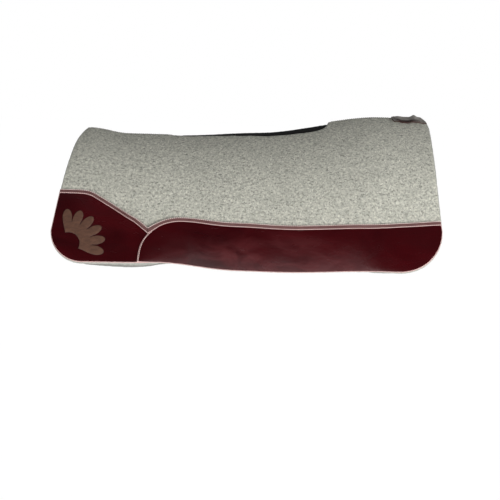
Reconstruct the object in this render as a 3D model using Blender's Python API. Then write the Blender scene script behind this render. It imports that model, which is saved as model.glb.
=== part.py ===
"""Western contoured saddle pad, draped as it lies over a horse's back.

Metres, +Z up, +X towards the withers (front), +Y to the left. The pad stands on its lower edges on z = 0,
and the origin is at the middle of its footprint.

Every piece is cut from a flat pattern and draped over one common shape. A pattern point is (x, t): x along
the horse, t the signed distance from the spine over the pad's outer surface, positive to the left. Its
height h is measured outwards from the top felt's outer surface, so layers are stacked by their heights.
"""

import functools
import math

import bmesh
import bpy
from mathutils import Vector

MM = 0.001
PAD_NAME = "saddle_pad"

# The drape
HALF_LENGTH = 0.412  # half of the lower edge
RIDGE_DIP_Z = 0.281  # lowest point of the outer surface along the spine
RIDGE_BACK = (-0.1725, 0.30, 0.018)  # a rise of the spine: where it starts, its length and its height
RIDGE_WITHERS = (0.0275, 0.27, 0.0345)
RIDGE_REAR = (-0.2725, -0.085, 0.011)
RIDGE_ANGLE = math.radians(24)  # slope beside the sewn spine
HEM_ANGLE = math.radians(86)  # slope at the middle of the lower edge
FLARE_ANGLE = math.radians(18)  # how far the corners stand out from that
REAR_FLARE = (-0.1325, -0.13, 1.0)  # where the rear corner's flare starts, its length and its size
FRONT_FLARE = (0.2075, 0.17, 1.0)
FLARE_START = 0.55  # share of the way down from the spine
HEM_Z = 0.0005
HEM_REAR = (-0.0225, -0.17, 0.012)  # rises of the outer surface's lower edge
HEM_FRONT = (0.05, 0.30, 0.0135)
PROFILE_STEPS = 60  # to the lower edge
PROFILE_END = 1.25  # the drape is worked out this far past the lower edge
PATTERN_HALF = 0.46  # more than the distance from spine to hem anywhere

# Outline of the felt
REAR_CUT = 0.047  # how far forward of the lower rear corner the spine ends
REAR_CUT_LENGTH = 0.31
REAR_NOTCH = 0.011
REAR_NOTCH_LENGTH = 0.08
FRONT_CUT = 0.010
FRONT_CUT_LENGTH = 0.33
FRONT_NOTCH = 0.013
FRONT_NOTCH_LENGTH = 0.045
CORNER_RADII = (0.071, 0.094)  # rear and front, of the top felt and the leathers
UNDER_RADII = (0.094, 0.122)  # of the bottom felt
# Where the bottom felt hangs lower: the middle, its reach behind and in front of that, and its depth
SAGS = ((-0.208, 0.090, 0.032, 5.0 * MM), (0.307, 0.030, 0.030, 3.0 * MM))

# Layers, as heights from the top felt's outer surface
GAP = 0.3 * MM
TOP_FELT = 12.0 * MM
BOTTOM_FELT = 10.0 * MM
LEATHER = 2.2 * MM
TRIM = 1.1 * MM
SEAM_GAP = 0.2 * MM  # from the middle plane to each half

# Spine slot, with the black inlay that fills it
SLOT_REAR_X = -0.175
SLOT_FRONT_X = 0.179
SLOT_REAR_HALF = 0.007
SLOT_WIDENING = (-0.13, 0.27, 0.0265)
SLOT_FRONT_END = 0.030  # lengths of its rounded ends
SLOT_REAR_END = 0.060
INLAY_DEPTH = 2.5 * MM  # of its outer surface below the top felt's

# Leathers: distances up from the lower edge of the felt
LEATHER_INSET = 0.8 * MM
WEAR_TOP = 0.1035
WEAR_TOP_MIDDLE = (-0.02, 0.13, -0.0028)
WEAR_TOP_FRONT = (0.25, 0.17, 0.0165)
WEAR_TOP_REAR_X = -0.085  # behind this the top edge bends down
WEAR_TOP_DROP = 0.0274
TRIM_START_X = -0.2075  # where the top edges of the two leathers meet
LAP_CURVE = ((-0.2265, 0.002), (-0.2255, 0.042), (-0.2175, 0.058), (-0.190, 0.0765))
CORNER_TOP = 0.1645
CORNER_SHOULDER = (-0.324, 0.1570)  # where the corner leather's top edge starts to slope down
CORNER_BEND = (-0.232, 0.0985)  # where it gets steeper
CORNER_END = (-0.190, 0.0607)

TRIM_WIDTH = 9.0 * MM
TRIM_INSET = 5.2 * MM  # from the leather's edge to the middle of the strip
THREAD = 0.5 * MM
THREAD_INSET = 3.7 * MM  # from the middle of the strip to each stitch row
LAP_SEAM_INSET = 2.5 * MM

# Wither patch and corner rosette
PATCH_REAR_X = 0.322
PATCH_HALF = 0.032
PATCH_INSET = 2.0 * MM  # from the front edge of the felt
PATCH_SEAM_INSET = 5.0 * MM
ROSETTE_X = -0.373
ROSETTE_UP = 0.040
ROSETTE_HUB = 0.025
ROSETTE_VALLEY = 0.048
ROSETTE_TIP = 0.078
ROSETTE_PETALS = 6
ROSETTE_ARC = (math.radians(-24), math.radians(106))

# Facets of the drape, shared by every layer
CELL_X = 0.040
CELL_T = 0.034
LAP_X = (-4 * CELL_X, -3 * CELL_X)  # the wear leather comes down off the corner leather between these

FELT_GREY = (0.40, 0.40, 0.34)
FELT_PALE = (0.55, 0.55, 0.49)
OXBLOOD = (0.045, 0.004, 0.007)
MAUVE = (0.13, 0.055, 0.052)
TAN = (0.115, 0.050, 0.034)
BLACK = (0.012, 0.012, 0.012)
BROWN = (0.090, 0.055, 0.045)
THREAD_PINK = (0.62, 0.42, 0.38)


def smooth(value):
    value = min(max(value, 0.0), 1.0)
    return value * value * (3 - 2 * value)


# ---------------------------------------------------------------- the drape


def rise(x, start, length, size):
    """A smooth change along the pad, towards the rear where the length is negative."""
    return size * smooth((x - start) / length)


def ridge_z(x):
    return RIDGE_DIP_Z + rise(x, *RIDGE_BACK) + rise(x, *RIDGE_WITHERS) + rise(x, *RIDGE_REAR)


def hem_z(x):
    return HEM_Z + rise(x, *HEM_REAR) + rise(x, *HEM_FRONT)


def flare(x):
    return rise(x, *REAR_FLARE) + rise(x, *FRONT_FLARE)


def slope(x, share):
    """Angle of the outer surface below the horizontal, at a share of the way from the spine to the hem."""
    angle = RIDGE_ANGLE + (HEM_ANGLE - RIDGE_ANGLE) * share
    return angle - FLARE_ANGLE * flare(x) * smooth((share - FLARE_START) / (1 - FLARE_START))


@functools.lru_cache(maxsize=None)
def profile(x):
    """The distance from spine to hem, and the running sideways and downward shares of it."""
    out, down = [0.0], [0.0]
    for step in range(int(PROFILE_STEPS * PROFILE_END)):
        angle = slope(x, (step + 0.5) / PROFILE_STEPS)
        out.append(out[-1] + math.cos(angle) / PROFILE_STEPS)
        down.append(down[-1] + math.sin(angle) / PROFILE_STEPS)
    return (ridge_z(x) - hem_z(x)) / down[PROFILE_STEPS], out, down


def reach(x):
    return profile(round(x, 5))[0]


def along(values, share):
    place = min(share * PROFILE_STEPS, len(values) - 1.001)
    low = int(place)
    return values[low] + (values[low + 1] - values[low]) * (place - low)


def drape_node(x, t, height):
    """A corner of the drape's facets, exactly on the draped surface."""
    length, out, down = profile(round(x, 5))
    share = abs(t) / length
    side = -1.0 if t < 0 else 1.0
    if abs(t) < 1e-9:
        return Vector((x, 0.0, ridge_z(x) + height / math.cos(RIDGE_ANGLE)))
    angle = slope(x, share)
    y = length * along(out, share) + height * math.sin(angle)
    z = ridge_z(x) - length * along(down, share) + height * math.cos(angle)
    return Vector((x, side * y, z))


def drape(x, t, height):
    """A pattern point on the facet that it falls in, so that every layer bends along the same lines."""
    side = -1.0 if t < 0 else 1.0
    across = abs(t) / CELL_T
    column, row = math.floor(x / CELL_X + 1e-9), math.floor(across + 1e-9)
    a, b = x / CELL_X - column, across - row
    corner = [
        drape_node((column + i) * CELL_X, side * (row + j) * CELL_T, height)
        for i, j in ((0, 0), (1, 1), (1, 0), (0, 1))
    ]
    near, far = corner[0], corner[1]
    if a >= b:
        return near + (corner[2] - near) * a + (far - corner[2]) * b
    return near + (corner[3] - near) * b + (far - corner[3]) * a


# ---------------------------------------------------------------- flat patterns


def rear_x(t):
    t = abs(t)
    cut = (REAR_CUT - REAR_NOTCH) * max(0.0, 1 - t / REAR_CUT_LENGTH)
    return -HALF_LENGTH + cut + REAR_NOTCH * max(0.0, 1 - t / REAR_NOTCH_LENGTH) ** 2


def front_x(t):
    t = abs(t)
    cut = FRONT_CUT * max(0.0, 1 - (t / FRONT_CUT_LENGTH) ** 3)
    return HALF_LENGTH - cut - FRONT_NOTCH * max(0.0, 1 - t / FRONT_NOTCH_LENGTH) ** 2


def corner_arc(centre_x, radius, inset, start, end, steps=9):
    """Points round a lower corner, whose centre is a radius above the hem."""
    points = []
    for step in range(steps + 1):
        angle = math.radians(start + (end - start) * step / steps)
        x = centre_x + (radius - inset) * math.cos(angle)
        up = radius + (radius - inset) * math.sin(angle)
        points.append((x, reach(x) - up))
    return points


def rear_corner(inset, radius=CORNER_RADII[0]):
    return corner_arc(-HALF_LENGTH + radius, radius, inset, 270, 180)


def front_corner(inset, radius=CORNER_RADII[1]):
    return corner_arc(HALF_LENGTH - radius, radius, inset, 360, 270)


def hem(inset, x_from, x_to, steps):
    """Points along the lower edge between the corners."""
    points = []
    for step in range(1, steps):
        x = x_from + (x_to - x_from) * step / steps
        points.append((x, reach(x) - inset))
    return points


def slot_half(x):
    """Half the width of the spine slot: a long teardrop, widest near its rounded front end."""
    body = SLOT_REAR_HALF + rise(x, *SLOT_WIDENING)
    from_front = max(0.0, 1 - (SLOT_FRONT_X - x) / SLOT_FRONT_END)
    from_rear = max(0.0, 1 - (x - SLOT_REAR_X) / SLOT_REAR_END)
    return body * math.sqrt(max(0.0, 1 - from_front**2)) * math.sqrt(max(0.0, 1 - from_rear**2))


def slot_stations():
    """Stations along the slot, from its front end to its rear end."""
    ends = [1 - math.cos(math.radians(a)) for a in (0, 20, 35, 50, 70, 90)]
    front = [SLOT_FRONT_X - SLOT_FRONT_END * end for end in ends]
    rear = [SLOT_REAR_X + SLOT_REAR_END * end for end in reversed(ends)]
    middle = [front[-1] + (rear[0] - front[-1]) * step / 6 for step in range(1, 6)]
    return front + middle + rear


def sag(x):
    """How far the bottom felt hangs below its even edge."""
    total = 0.0
    for middle, behind, ahead, depth in SAGS:
        total += depth * math.exp(-(((x - middle) / (behind if x < middle else ahead)) ** 2))
    return total


def felt_outline(layer):
    """One half of a felt, as (x, distance from the spine), from the front of the spine round."""
    top = layer == "top"
    radii = CORNER_RADII if top else UNDER_RADII
    points = [(front_x(0), SEAM_GAP)]
    if top:
        points += [(x, max(SEAM_GAP, slot_half(x))) for x in slot_stations()]
    points += [(rear_x(t), max(t, SEAM_GAP)) for t in (0, 0.02, 0.04, 0.06, 0.08, 0.13, 0.19, 0.25)]
    points += list(reversed(rear_corner(0.0, radii[0])))
    lower = hem(0.0, -HALF_LENGTH + radii[0], HALF_LENGTH - radii[1], 18)
    points += lower if top else [(x, t + sag(x)) for x, t in lower]
    points += list(reversed(front_corner(0.0, radii[1])))
    points += [(front_x(t), t) for t in (0.27, 0.22, 0.16, 0.10, 0.045, 0.03, 0.015)]
    return points


def inlay_outline():
    """The spine inlay, over both halves of the slot with a little room all round."""
    room = 2 * GAP
    half = [(x, slot_half(x) - room) for x in slot_stations() if slot_half(x) > 4 * room]
    return half + [(x, -t) for x, t in reversed(half)]


def wear_top(x):
    """Height of the wear leather's top edge above the hem."""
    behind = max(0.0, (WEAR_TOP_REAR_X - x) / (WEAR_TOP_REAR_X - TRIM_START_X))
    top = WEAR_TOP + rise(x, *WEAR_TOP_MIDDLE) + rise(x, *WEAR_TOP_FRONT)
    return top - WEAR_TOP_DROP * behind**2.8


def lap_curve(steps=8, end=0.75):
    """The wear leather's rear edge over the corner leather, from the hem upwards, as (x, up)."""
    points = []
    for step in range(steps + 1):
        t = end * step / steps
        weights = ((1 - t) ** 3, 3 * t * (1 - t) ** 2, 3 * t * t * (1 - t), t**3)
        x, up = (sum(w * p[i] for w, p in zip(weights, LAP_CURVE)) for i in (0, 1))
        points.append((x, up))
    return points


def wear_top_edge(start=TRIM_START_X, steps=16):
    end = front_x(0.3) - LEATHER_INSET
    stations = [start + (end - start) * (step / steps) ** 1.3 for step in range(steps + 1)]
    return [(x, wear_top(x)) for x in stations]


def corner_edge():
    """The corner leather's top edge, from the rear edge of the pad to its end under the wear leather."""
    start = [(-0.400, CORNER_TOP), (-0.362, CORNER_TOP)]
    rounded = [(-0.346, CORNER_TOP - 0.0006), (-0.335, CORNER_TOP - 0.0030)]
    return start + rounded + [CORNER_SHOULDER, CORNER_BEND, CORNER_END]


def to_pattern(points):
    """From (x, up from the hem) to (x, distance from the spine)."""
    return [(x, reach(x) - up) for x, up in points]


def wear_outline():
    lower = hem(LEATHER_INSET, HALF_LENGTH - CORNER_RADII[1], LAP_CURVE[0][0], 14)
    top = lap_curve() + wear_top_edge(TRIM_START_X + 1.0 * MM)
    return to_pattern(top) + front_corner(LEATHER_INSET) + lower


def corner_outline():
    rear_end = -HALF_LENGTH + CORNER_RADII[0]
    start = CORNER_END[0] - 0.014
    lower = hem(LEATHER_INSET, start, rear_end, 4)
    end = (start, reach(start) - LEATHER_INSET)
    return to_pattern(corner_edge()) + [end] + lower + rear_corner(LEATHER_INSET)


def offset_path(points, distance):
    """A path moved sideways, to the right of its direction when the distance is positive."""
    moved = []
    last = len(points) - 1
    for i, (x, up) in enumerate(points):
        before = Vector((x, up)) - Vector(points[i - 1]) if i else None
        after = Vector(points[i + 1]) - Vector((x, up)) if i < last else None
        ways = [way.normalized() for way in (before, after) if way]
        mean = sum(ways, Vector((0, 0))).normalized()
        stretch = 1 / max(mean.dot(ways[0]), 0.6)
        moved.append((x + mean.y * distance * stretch, up - mean.x * distance * stretch))
    return moved


def band(points, width):
    return offset_path(points, -width / 2) + list(reversed(offset_path(points, width / 2)))


def clipped(points, x_low, x_high):
    """The part of a path between two stations, with its ends put exactly on them."""
    kept = []
    for (x0, up0), (x1, up1) in zip(points, points[1:]):
        low, high = max(x0, x_low), min(x1, x_high)
        if high <= low:
            continue
        for x in (low, high):
            point = (x, up0 + (up1 - up0) * (x - x0) / (x1 - x0))
            if not kept or abs(kept[-1][0] - x) > 1e-6:
                kept.append(point)
    return kept


def wear_trim_path():
    path = clipped(wear_top_edge(), TRIM_START_X, front_x(0.3) - 2 * LEATHER_INSET)
    return offset_path(path, TRIM_INSET)


def corner_trim_path():
    path = clipped(corner_edge(), -0.3975, TRIM_START_X - 0.011)
    return offset_path(path, TRIM_INSET)


def lap_seam_path():
    path = clipped(lap_curve(), LAP_CURVE[0][0], TRIM_START_X)
    return offset_path(path, LAP_SEAM_INSET)


def rosette_outline():
    """A quarter of a daisy of equal round petals on a plain ring, as (x, up)."""
    start, end = ROSETTE_ARC
    steps = ROSETTE_PETALS * 6
    outer, inner = [], []
    for step in range(steps + 1):
        angle = start + (end - start) * step / steps
        bulge = math.sqrt(abs(math.sin(math.pi * ROSETTE_PETALS * step / steps)))
        radius = ROSETTE_VALLEY + (ROSETTE_TIP - ROSETTE_VALLEY) * bulge
        outer.append((ROSETTE_X + radius * math.cos(angle), ROSETTE_UP + radius * math.sin(angle)))
    for step in range(9):
        angle = end + (start - end) * step / 8
        inner.append(
            (ROSETTE_X + ROSETTE_HUB * math.cos(angle), ROSETTE_UP + ROSETTE_HUB * math.sin(angle))
        )
    return outer + inner


def patch_outline():
    """The wither patch, over both sides of the spine, with its rear corners rounded."""
    front = [(front_x(t) - PATCH_INSET, t) for t in (0.003, 0.012, 0.022, PATCH_HALF - 0.002)]
    rear = [(0.012, PATCH_HALF), (0.003, 0.8 * PATCH_HALF), (0.0, 0.4 * PATCH_HALF)]
    half = front + [(PATCH_REAR_X + x, t) for x, t in rear]
    return half + [(x, -t) for x, t in reversed(half)]


def patch_seam_path():
    """Round the sides and the rear of the patch, inside its edge."""
    inner = PATCH_HALF - PATCH_SEAM_INSET
    half = [(front_x(inner) - 0.008, inner), (PATCH_REAR_X + 0.016, inner)]
    half += [(PATCH_REAR_X + 0.008, 0.8 * inner), (PATCH_REAR_X + 0.005, 0.4 * inner)]
    return half + [(x, -t) for x, t in reversed(half)]


def lap_lift(x):
    """How far the wear leather is raised where it lies over the corner leather."""
    on, off = LAP_X
    share = min(max((off - x) / (off - on), 0.0), 1.0)
    return share * (LEATHER + GAP)


# ---------------------------------------------------------------- solids


def facet_lines(side):
    """The planes that cut one side of a flat pattern along the drape's facets."""
    columns, rows = math.ceil(HALF_LENGTH / CELL_X), math.ceil(PATTERN_HALF / CELL_T)
    for i in range(-columns, columns + 1):
        yield Vector((i * CELL_X, 0, 0)), Vector((1, 0, 0))
    for j in range(rows + 1):
        yield Vector((0, side * j * CELL_T, 0)), Vector((0, 1, 0))
    for k in range(-columns - rows, columns + 1):
        yield Vector((k * CELL_X, 0, 0)), Vector((CELL_T, -side * CELL_X, 0))


def cut_along(flat, faces, origin, normal):
    """Cuts some faces of a flat mesh where a plane crosses them."""
    verts = {v for face in faces for v in face.verts}
    edges = {e for face in faces for e in face.edges}
    on_side = [(v.co - origin).dot(normal) for v in verts]
    if verts and min(on_side) < -1e-7 and max(on_side) > 1e-7:
        geometry = list(verts) + list(edges) + list(faces)
        bmesh.ops.bisect_plane(flat, geom=geometry, dist=1e-7, plane_co=origin, plane_no=normal)


def cut_flat(outline):
    """The pattern as a flat mesh, cut along every facet line that crosses it."""
    flat = bmesh.new()
    flat.faces.new([flat.verts.new((x, t, 0)) for x, t in outline])
    cut_along(flat, flat.faces[:], Vector((0, 0, 0)), Vector((0, 1, 0)))
    for side in (-1, 1):
        for origin, normal in facet_lines(side):
            faces = [f for f in flat.faces if side * f.calc_center_median().y > 0]
            cut_along(flat, faces, origin, normal)
    return flat


def thicken(flat, low, high, lift=None):
    """A closed solid between two heights over a flat pattern."""
    solid = bmesh.new()
    made = {}
    for vert in flat.verts:
        raised = lift(vert.co.x) if lift else 0.0
        for height in (low, high):
            made[vert, height] = solid.verts.new(drape(vert.co.x, vert.co.y, height + raised))
    for face in flat.faces:
        solid.faces.new([made[v, high] for v in face.verts])
        solid.faces.new([made[v, low] for v in reversed(face.verts)])
    for edge in flat.edges:
        if len(edge.link_faces) == 1:
            start, end = edge.verts
            solid.faces.new([made[start, low], made[end, low], made[end, high], made[start, high]])
    flat.free()
    bmesh.ops.recalc_face_normals(solid, faces=solid.faces)
    return solid


def trim_to_floor(solid):
    """Cuts the solid flat where it would pass below the ground."""
    geometry = solid.verts[:] + solid.edges[:] + solid.faces[:]
    bmesh.ops.bisect_plane(
        solid, geom=geometry, dist=1e-6, plane_co=(0, 0, 0), plane_no=(0, 0, -1), clear_outer=True
    )
    open_edges = [edge for edge in solid.edges if edge.is_boundary]
    bmesh.ops.holes_fill(solid, edges=open_edges, sides=0)
    bmesh.ops.recalc_face_normals(solid, faces=solid.faces)


# ---------------------------------------------------------------- objects


def new_material(name, colour, roughness):
    material = bpy.data.materials.new(name)
    material.use_nodes = True
    shader = material.node_tree.nodes["Principled BSDF"]
    shader.inputs["Base Color"].default_value = (*colour, 1)
    shader.inputs["Roughness"].default_value = roughness
    shader.inputs["Metallic"].default_value = 0.0
    material.diffuse_color = (*colour, 1)
    return material


def add_object(name, data, colour, roughness, collection):
    obj = bpy.data.objects.new(name, data)
    data.materials.append(new_material(name, colour, roughness))
    collection.objects.link(obj)
    return obj


def add_solid(name, solid, colour, roughness, collection):
    mesh = bpy.data.meshes.new(name)
    solid.to_mesh(mesh)
    solid.free()
    return add_object(name, mesh, colour, roughness, collection)


def mirrored(points, side):
    return [(x, side * t) for x, t in points]


def add_panel(name, outline, low, high, look, collection, lift=None):
    """A sheet piece cut to an outline in pattern coordinates."""
    solid = thicken(cut_flat(outline), low, high, lift)
    return add_solid(name, solid, *look, collection)


def facet_crossings(start, end):
    """Shares of a straight pattern line at which it crosses from one facet to the next."""
    shares = {0.0, 1.0}
    side = 1 if start[1] + end[1] > 0 else -1
    for origin, normal in facet_lines(side):
        a = (Vector((*start, 0)) - origin).dot(normal)
        b = (Vector((*end, 0)) - origin).dot(normal)
        if (a > 1e-9 and b < -1e-9) or (a < -1e-9 and b > 1e-9):
            shares.add(a / (a - b))
    return sorted(shares)


def threaded(points):
    """A path with a point added at every facet line that it crosses."""
    path = [points[0]]
    for start, end in zip(points, points[1:]):
        for share in facet_crossings(start, end)[1:]:
            point = tuple(a + (b - a) * share for a, b in zip(start, end))
            if math.dist(point, path[-1]) > 0.4 * MM:
                path.append(point)
    return path


def add_thread(name, points, height, collection, lift=None, radius=THREAD):
    """A sewn cord lying on the surface below it."""
    curve = bpy.data.curves.new(name, "CURVE")
    curve.dimensions = "3D"
    curve.bevel_depth = radius
    curve.bevel_resolution = 0
    curve.use_fill_caps = True
    path = threaded(points)
    spline = curve.splines.new("POLY")
    spline.points.add(len(path) - 1)
    for point, (x, t) in zip(spline.points, path):
        raised = height + (lift(x) if lift else 0.0)
        point.co = (*drape(x, t, raised), 1)
    return add_object(name, curve, THREAD_PINK, 0.8, collection)


def build_felts(side, name, collection):
    top = thicken(cut_flat(mirrored(felt_outline("top"), side)), -TOP_FELT, 0.0)
    trim_to_floor(top)
    add_solid("top_felt_" + name, top, FELT_GREY, 0.95, collection)
    under = -TOP_FELT - GAP
    flat = cut_flat(mirrored(felt_outline("bottom"), side))
    bottom = thicken(flat, under - BOTTOM_FELT, under)
    trim_to_floor(bottom)
    add_solid("bottom_felt_" + name, bottom, FELT_PALE, 0.95, collection)


def build_leathers(side, name, collection):
    low, high = GAP, GAP + LEATHER
    look = (OXBLOOD, 0.35)
    corner = mirrored(corner_outline(), side)
    add_panel("corner_leather_" + name, corner, low, high, look, collection)
    wear = mirrored(wear_outline(), side)
    add_panel("wear_leather_" + name, wear, low, high, look, collection, lap_lift)


def build_trims(side, name, collection):
    low = 2 * GAP + LEATHER
    look = (MAUVE, 0.6)
    corner = mirrored(to_pattern(band(corner_trim_path(), TRIM_WIDTH)), side)
    add_panel("corner_trim_" + name, corner, low, low + TRIM, look, collection)
    wear = mirrored(to_pattern(band(wear_trim_path(), TRIM_WIDTH)), side)
    add_panel("wear_trim_" + name, wear, low, low + TRIM, look, collection, lap_lift)
    rosette = mirrored(to_pattern(rosette_outline()), side)
    add_panel("corner_rosette_" + name, rosette, low, low + TRIM, (TAN, 0.6), collection)


def build_threads(side, name, collection):
    on_leather = GAP + LEATHER + THREAD + GAP
    on_trim = on_leather + TRIM + GAP
    rows = (("upper", -THREAD_INSET), ("lower", THREAD_INSET))
    for row, inset in rows:
        corner = mirrored(to_pattern(offset_path(corner_trim_path(), inset)), side)
        add_thread(f"corner_thread_{row}_{name}", corner, on_trim, collection)
        wear = mirrored(to_pattern(offset_path(wear_trim_path(), inset)), side)
        add_thread(f"wear_thread_{row}_{name}", wear, on_trim, collection, lap_lift)
    lap = mirrored(to_pattern(lap_seam_path()), side)
    add_thread("lap_thread_" + name, lap, on_leather, collection, lap_lift)


def build_spine(collection):
    add_panel("spine_inlay", inlay_outline(), -TOP_FELT, -INLAY_DEPTH, (BLACK, 0.9), collection)
    patch = patch_outline()
    add_panel("wither_patch", patch, GAP, GAP + LEATHER, (BROWN, 0.5), collection)
    on_leather = GAP + LEATHER + THREAD + GAP
    add_thread("wither_patch_thread", patch_seam_path(), on_leather, collection)
    on_felt = GAP + 2 * THREAD
    seam_rear = [(rear_x(0) + 4 * MM, 0.0), (SLOT_REAR_X - 4 * MM, 0.0)]
    seam_front = [(SLOT_FRONT_X + 4 * MM, 0.0), (PATCH_REAR_X - 4 * MM, 0.0)]
    add_thread("spine_seam_rear", seam_rear, on_felt, collection, radius=1.4 * THREAD)
    add_thread("spine_seam_front", seam_front, on_felt, collection, radius=1.4 * THREAD)


def main():
    for obj in list(bpy.data.objects):
        bpy.data.objects.remove(obj, do_unlink=True)
    collection = bpy.data.collections.new(PAD_NAME)
    bpy.context.scene.collection.children.link(collection)
    build_spine(collection)
    for side, name in ((1, "left"), (-1, "right")):
        build_felts(side, name, collection)
        build_leathers(side, name, collection)
        build_trims(side, name, collection)
        build_threads(side, name, collection)


main()
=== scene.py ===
"""Looks of the contoured western saddle pad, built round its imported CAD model.

Every soft piece is cut from the same flat pattern as its CAD solid and draped over the same surface. A
pattern point is (x, t): x along the horse, t the signed distance from the spine, positive to the left. Its
height is measured outwards from the top felt's outer surface. All sizes are in metres.
"""

import math

import bpy
import numpy as np
from mathutils import Matrix, Vector
from mathutils.geometry import delaunay_2d_cdt


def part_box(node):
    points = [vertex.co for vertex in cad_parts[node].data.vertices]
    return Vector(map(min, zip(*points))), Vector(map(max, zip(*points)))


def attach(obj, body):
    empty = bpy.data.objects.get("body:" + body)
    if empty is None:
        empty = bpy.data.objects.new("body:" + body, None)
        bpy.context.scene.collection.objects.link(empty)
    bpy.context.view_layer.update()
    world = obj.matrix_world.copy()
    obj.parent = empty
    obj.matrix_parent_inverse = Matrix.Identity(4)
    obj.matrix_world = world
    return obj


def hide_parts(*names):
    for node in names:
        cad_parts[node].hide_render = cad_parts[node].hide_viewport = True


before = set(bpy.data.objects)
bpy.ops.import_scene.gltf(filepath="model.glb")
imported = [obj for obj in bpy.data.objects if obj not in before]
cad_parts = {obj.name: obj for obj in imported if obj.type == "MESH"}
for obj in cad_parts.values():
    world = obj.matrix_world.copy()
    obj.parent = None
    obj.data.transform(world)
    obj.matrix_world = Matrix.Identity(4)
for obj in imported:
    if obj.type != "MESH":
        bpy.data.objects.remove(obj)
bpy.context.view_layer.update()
MM = 0.001

# The drape, as in the CAD model
HALF_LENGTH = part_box("bottom_felt_left")[1][0]
RIDGE_BACK = (-0.1725, 0.30, 0.018)  # a rise of the spine: where it starts, its length and its height
RIDGE_WITHERS = (0.0275, 0.27, 0.0345)
RIDGE_REAR = (-0.2725, -0.085, 0.011)
RIDGE_DIP_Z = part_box("top_felt_left")[1][2] - RIDGE_BACK[2] - RIDGE_WITHERS[2]
RIDGE_ANGLE = math.radians(24)
HEM_ANGLE = math.radians(86)
FLARE_ANGLE = math.radians(18)
REAR_FLARE = (-0.1325, -0.13, 1.0)
FRONT_FLARE = (0.2075, 0.17, 1.0)
FLARE_START = 0.55
HEM_Z = 0.0005
HEM_REAR = (-0.0225, -0.17, 0.012)
HEM_FRONT = (0.05, 0.30, 0.0135)
RIDGE_SOFT = 0.030  # the layers turn over the spine within this distance of it
STEPS = 60
STATIONS = np.linspace(-HALF_LENGTH - 0.01, HALF_LENGTH + 0.01, 169)

# Outline of the felt
REAR_CUT = 0.047
REAR_CUT_LENGTH = 0.31
REAR_NOTCH = 0.011
REAR_NOTCH_LENGTH = 0.08
FRONT_CUT = 0.010
FRONT_CUT_LENGTH = 0.33
FRONT_NOTCH = 0.013
FRONT_NOTCH_LENGTH = 0.045
ENDS_T = 0.27  # the front and rear edges run from the spine to this t, and the corners follow
CORNER_RADII = (0.071, 0.094)  # rear and front, of the top felt and the leathers
UNDER_RADII = (0.094, 0.122)  # of the bottom felt
# Where the bottom felt hangs lower: the middle, its reach behind and in front of that, and its depth
SAGS = ((-0.208, 0.090, 0.032, 5.0 * MM), (0.307, 0.030, 0.030, 3.0 * MM))

# Layers
GAP = 0.3 * MM
TOP_FELT = 12.0 * MM
BOTTOM_FELT = 10.0 * MM
LEATHER = 2.2 * MM
TRIM = 1.1 * MM
SEAM_GAP = 0.2 * MM
LEATHER_TOP = GAP + LEATHER
TUCK = 0.35 * MM  # how far a leather's sewn edge is pulled down
PRESS = 0.8 * MM  # how far the leathers press into the felt
PRESS_REACH = 9.0 * MM

# Spine slot, with the black inlay that fills it
SLOT_REAR_X = -0.175
SLOT_FRONT_X = 0.179
SLOT_REAR_HALF = 0.007
SLOT_WIDENING = (-0.13, 0.27, 0.0265)
SLOT_FRONT_END = 0.030
SLOT_REAR_END = 0.060
INLAY_DEPTH = 1.0 * MM  # at its rear end
INLAY_SINK = (-0.05, 0.15, 4.0 * MM)  # towards its front end it lies deeper
INLAY_ROOM = 0.6 * MM

# Leathers: distances up from the lower edge of the felt
LEATHER_INSET = 0.8 * MM
WEAR_TOP = 0.1035
WEAR_TOP_MIDDLE = (-0.02, 0.13, -0.0028)
WEAR_TOP_FRONT = (0.25, 0.17, 0.0165)
WEAR_TOP_REAR_X = -0.085
WEAR_TOP_DROP = 0.0274
TRIM_START_X = -0.2075  # where the top edges of the two leathers meet
LAP_CURVE = ((-0.2265, 0.002), (-0.2255, 0.042), (-0.2175, 0.058), (-0.190, 0.0765))
CORNER_TOP = 0.1645
CORNER_SHOULDER = (-0.324, 0.1570)  # where the corner leather's top edge starts to slope down
CORNER_BEND = (-0.232, 0.0985)  # where it gets steeper
CORNER_END = (-0.190, 0.0607)
LAP_X = (-0.160, -0.120)
TRIM_WIDTH = 9.0 * MM
TRIM_INSET = 5.2 * MM
TRIM_SPREAD = (-0.180, -0.0275, 0.6)  # the wear trim's lower half gets wider towards its rear end
TRIM_LIMITS = (-0.3995, 0.4085)  # the trims' cut ends at the rear and the front of the pad
THREAD = 0.5 * MM
THREAD_INSET = 3.7 * MM
LAP_SEAM_INSET = 2.5 * MM
STITCH_PITCH = 4.2 * MM

# Wither patch and corner rosette
PATCH_REAR_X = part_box("wither_patch")[0][0]
PATCH_HALF = 0.032
PATCH_INSET = 2.0 * MM  # from the front edge of the felt
PATCH_SEAM_INSET = 5.0 * MM
PATCH_CURL = 4.5 * MM  # how far its edges curl up
PATCH_BUMP = (0.372, 0.006, 0.018, 4.8 * MM)  # its x, its reach along and across the pad, and its height
PATCH_FOLD = (0.337, 0.008, 1.2 * MM)  # a low ridge across it: its x, its reach along the pad and its height
ROSETTE_X = -0.373
ROSETTE_UP = 0.040
ROSETTE_HUB = 0.025
ROSETTE_VALLEY = 0.048
ROSETTE_TIP = 0.078
ROSETTE_PETALS = 6
ROSETTE_ARC = (math.radians(-24), math.radians(106))

# Rounding of the cut edges: how far in from the edge, and how far down
FELT_RIM = (2.2 * MM, 2.2 * MM)
LEATHER_RIM = (1.4 * MM, 0.8 * MM)
ROSETTE_RIM = (0.4 * MM, 0.4 * MM)
INLAY_RIM = (0.8 * MM, 0.8 * MM)
PATCH_RIM = (0.6 * MM, 0.6 * MM)
FELT_FRAY = 0.35 * MM

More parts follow.
